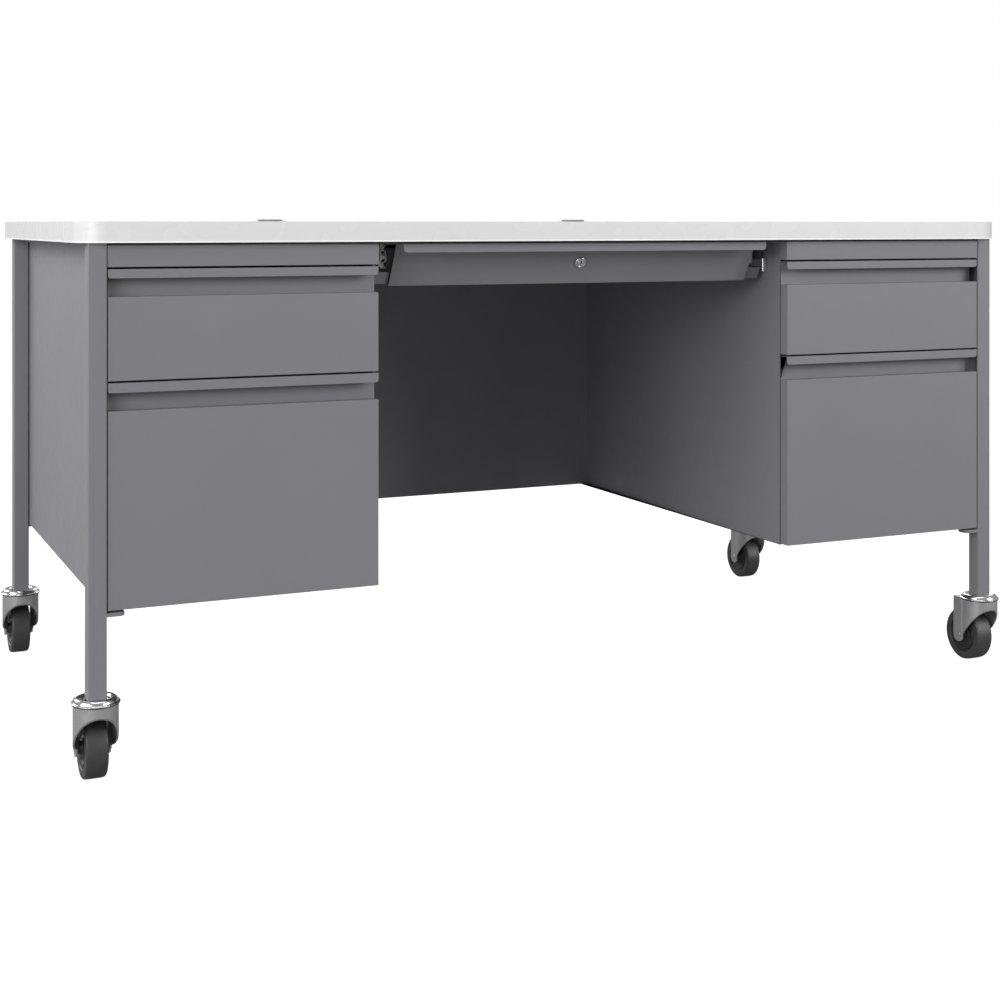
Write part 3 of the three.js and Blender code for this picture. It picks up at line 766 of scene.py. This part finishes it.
def build_balls(side, x, z, rise, front):
    count, pitch = 16, 5.4 * MM

    def fill(work):
        for height in (z + rise, z - rise):
            for k in range(count):
                ball(work, (x, front + 3 * MM + pitch * k, height), BALL)

    add_piece(f"centre_{side}_balls", mesh_of("balls", fill), mirror, "centre_runners")


def build_cage_end(side, x, across, z, front):
    """The ribbed stop at the front of a ball cage."""
    low, high, depth = min(x, x + across), max(x, x + across), 6 * MM
    ribs, rib_half = 5, 0.35 * MM

    def fill(work):
        prism(work, rectangle(low, high, front + 0.7 * MM, front + depth), z - 4.6 * MM, z + 4.6 * MM)
        for k in range(ribs):
            middle = low + (high - low) * (k + 0.5) / ribs
            rib = rectangle(middle - rib_half, middle + rib_half, front, front + 1 * MM)
            prism(work, rib, z - 4.4 * MM, z + 4.4 * MM)

    add_piece(f"centre_{side}_cage_end", mesh_of("cage_end", fill), steel,
              "centre_runners")


def build_hanger_clips():
    """The folded front end of each slide hanger, and the stop plate between its two walls."""
    wing_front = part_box("centre_drawer_tray")[0].y
    metal, clip_height, stop_low, stop_high = 1.5 * MM, 21 * MM, 8 * MM, 19.5 * MM
    for side, sign in SIDES:
        low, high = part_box(f"centre_{side}_hanger")
        inner, outer = sorted((abs(low.x), abs(high.x)))
        edge = sign * (outer + 2.2 * MM)
        turn = sign * (outer - 4.0 * MM)
        path = fillet([
            (turn, wing_front + 5 * MM), (turn, wing_front + metal / 2), (edge, wing_front + metal / 2),
            (edge, low.y - 0.3 * MM),
        ], 1.2 * MM, 4)
        outline = ribbon(path, metal)
        clip = mesh_of("clip", lambda work: prism(work, outline, low.z, low.z + clip_height))
        piece = add_piece(f"centre_{side}_hanger_clip", clip, steel, "frame")
        soften(piece, 0.3 * MM)

        plate = rectangle(sign * (inner + metal), sign * (outer - metal), low.y, low.y + metal)
        stop = mesh_of("stop", lambda work: prism(work, plate, low.z + stop_low, low.z + stop_high))
        plate_piece = add_piece(f"centre_{side}_hanger_stop", stop, powder, "frame")
        soften(plate_piece, 0.3 * MM)


def build_worktop_shadow_strip():
    """Dark strips between the worktop's underside and the frame, set back from the drawer fronts: painted shade
    standing in for the shadow in that gap.
    """
    left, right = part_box("left_top_rail"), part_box("right_top_rail")
    low_x, high_x = left[0].x + 1 * MM, right[1].x - 1 * MM
    front, back = left[0].y + 2 * MM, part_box("back_panel")[0].y
    low_z, high_z = left[1].z + 0.1 * MM, worktop_low.z - 0.1 * MM
    width = 9 * MM

    def fill(work):
        prism(work, rectangle(low_x, high_x, front, front + width), low_z, high_z)
        for x in (low_x, high_x - width):
            prism(work, rectangle(x, x + width, front + width + 1 * MM, back), low_z, high_z)

    # Painted shade: black strips where the gap under the worktop holds only shadow.
    add_piece("worktop_shadow_strip", mesh_of("shade_strip", fill), hub_black, "frame")


def build_leg_gap_shades():
    """Dark strips in the gaps between the legs and the pedestals beside them: painted shade standing in for the
    shadow in those gaps.
    """
    panel_low, panel_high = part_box("back_panel")
    bottom, rail_low = panel_low.z + 2 * MM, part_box("left_top_rail")[0].z - 1 * MM
    for side, sign in SIDES:
        rear_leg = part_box(f"rear_{side}_leg")
        drawer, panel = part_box(side + "_box_drawer_front"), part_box(side + "_outer_side")
        edge = max(abs(drawer[0].x), abs(drawer[1].x))
        wall = max(abs(panel[0].x), abs(panel[1].x))
        gaps = (
            (edge + 0.2 * MM, edge + 1.2 * MM, drawer[0].y + 1 * MM, panel[0].y, rail_low),
            (wall - 6 * MM, wall, panel[1].y + 1.7 * MM, rear_leg[1].y - 14 * MM, panel_high.z - 2 * MM),
        )

        def fill(work):
            for near, far, front, back, top in gaps:
                prism(work, rectangle(sign * near, sign * far, front, back), bottom, top)

        # Painted shade: black strips in gaps that hold only shadow.
        add_piece(side + "_leg_gap_shades", mesh_of("gap_shades", fill), hub_black, "frame")


def build_panel_hems():
    """The folded front hem on the kneehole side of each pedestal's inner panel."""
    for side, sign in SIDES:
        low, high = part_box(side + "_inner_side")
        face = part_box(side + "_box_drawer_front")[0 if sign > 0 else 1].x
        strip = [
            (face - sign * 1.1 * MM, low.y), (face, low.y), (face, low.y + 11 * MM),
            (face - sign * 0.4 * MM, low.y + 11.5 * MM), (face - sign * 1.1 * MM, low.y + 10 * MM),
        ]
        hem = mesh_of("hem", lambda work: prism(work, strip, low.z + 0.5 * MM, high.z - 0.5 * MM))
        piece = add_piece(side + "_panel_hem", hem, powder, "frame")
        soften(piece, 0.25 * MM)


def screw_head(work, place, radius, height):
    """A plain pan head."""
    dome = [
        (0, height), (radius * 0.55, height * 0.92), (radius * 0.9, height * 0.6), (radius, 0.2 * height),
        (radius, 0), (0, 0),
    ]
    lathe(work, fillet(dome, radius * 0.2, 3), 28, place, closed=False)


def build_screws():
    """Pan-head screws that hold the back panel to the pedestals."""
    low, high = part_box("back_panel")
    radius, height = 4.6 * MM, 2.2 * MM
    sheet_face = low.y + 1.2 * MM
    xs = []
    for side, sign in SIDES:
        inner_low, inner_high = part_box(side + "_inner_side")
        knee = max(abs(inner_low.x), abs(inner_high.x)) - 7 * MM
        xs += [sign * knee, sign * (high.x - 9 * MM)]
    rows = 4
    drop = (high.z - low.z - 80 * MM) / (rows - 1)
    back = Matrix.Rotation(-math.pi / 2, 4, "X")

    def fill(work):
        for x in xs:
            for k in range(rows):
                place = Matrix.Translation((x, sheet_face, low.z + 40 * MM + drop * k)) @ back
                screw_head(work, place, radius, height)

    add_piece("back_panel_screws", mesh_of("screws", fill), powder, "frame")


# ---------------------------------------------------------------- stage
FLOOR_HALF = 9.0
FLOOR_DROP = 0.2 * MM  # keeps the floor clear of the wheels


def build_stage():
    def fill(work):
        bmesh.ops.create_grid(work, x_segments=4, y_segments=4, size=FLOOR_HALF)

    mesh = mesh_of("floor", fill)
    floor = bpy.data.objects.new("studio_floor", mesh)
    bpy.context.scene.collection.objects.link(floor)
    floor.location.z = floor_z - FLOOR_DROP
    mesh.materials.append(floor_paint())


def soft_box(name, place, target, size, power):
    data = bpy.data.lights.new(name, "AREA")
    data.shape = "SQUARE"
    data.size = size
    data.energy = power
    light = bpy.data.objects.new(name, data)
    bpy.context.scene.collection.objects.link(light)
    light.location = place
    light.rotation_euler = (Vector(target) - Vector(place)).to_track_quat("-Z", "Y").to_euler()


def build_world():
    """White for the camera, and a weak even fill for the desk."""
    world = bpy.data.worlds.new("studio")
    bpy.context.scene.world = world
    world.use_nodes = True
    tree = world.node_tree
    background = tree.nodes["Background"]
    background.inputs["Color"].default_value = (1, 1, 1, 1)
    path = tree.nodes.new("ShaderNodeLightPath")
    level = background.inputs["Strength"]
    previous = None
    for ray, strength in (("Is Glossy Ray", 0.4), ("Is Camera Ray", 1.0)):
        step = tree.nodes.new("ShaderNodeMapRange")
        step.inputs["To Min"].default_value = 0.03
        step.inputs["To Max"].default_value = strength
        tree.links.new(path.outputs[ray], step.inputs["Value"])
        if previous:
            tree.links.new(previous, step.inputs["To Min"])
        previous = step.outputs["Result"]
    tree.links.new(previous, level)


def build_lights():
    """Soft boxes round the desk: place, what each is aimed at, size in metres and power in watts."""
    build_world()
    middle = (0, 0, 0.4)
    soft_box("key", (-4.5, -1.5, 2.4), middle, 3.0, 138)
    soft_box("front_left", (-4.0, -3.4, 1.5), middle, 2.4, 80)
    soft_box("front_right", (3.6, -4.2, 2.4), (0.4, 0, 0.4), 2.6, 183)
    soft_box("top", (0, -0.4, 4.2), (0, 0, 0.7), 3.2, 77)
    soft_box("rear_left", (-3.0, 4.6, 2.8), (-0.2, 0, 0.4), 2.6, 160)
    soft_box("rear_right", (3.2, 4.4, 2.8), (0.2, 0, 0.4), 2.6, 70)


# The camera's place in worktop widths from the desk's middle, and how far under the worktop's top.
CAMERA_LEFT, CAMERA_AWAY, CAMERA_BELOW_TOP = 0.7407, 1.6898, 3.7 * MM
CAMERA_TURN = 24.5
CAMERA_SHIFT = (-0.0202, -0.2759)
SENSOR, LENS = 36, 59.38


def build_camera():
    """A level camera at seated height, off to the desk's left, with the picture shifted down."""
    data = bpy.data.cameras.new("camera")
    camera = bpy.data.objects.new("camera", data)
    bpy.context.scene.collection.objects.link(camera)
    desk_width = band_high.x - band_low.x
    camera.location = (
        -CAMERA_LEFT * desk_width,
        desk_middle_y - CAMERA_AWAY * desk_width,
        band_high.z - CAMERA_BELOW_TOP,
    )
    camera.rotation_euler = (math.pi / 2, 0, -math.radians(CAMERA_TURN))
    data.sensor_width = SENSOR
    data.lens = LENS
    data.shift_x, data.shift_y = CAMERA_SHIFT
    data.clip_end = 60
    bpy.context.scene.camera = camera


bpy.context.scene.view_settings.view_transform = "Standard"
build_camera()
dress_frame()
build_casters()
build_grommets()
build_lock()
build_centre_slides()
build_hanger_clips()
build_worktop_shadow_strip()
build_leg_gap_shades()
build_panel_hems()
build_screws()
build_stage()
build_lights()
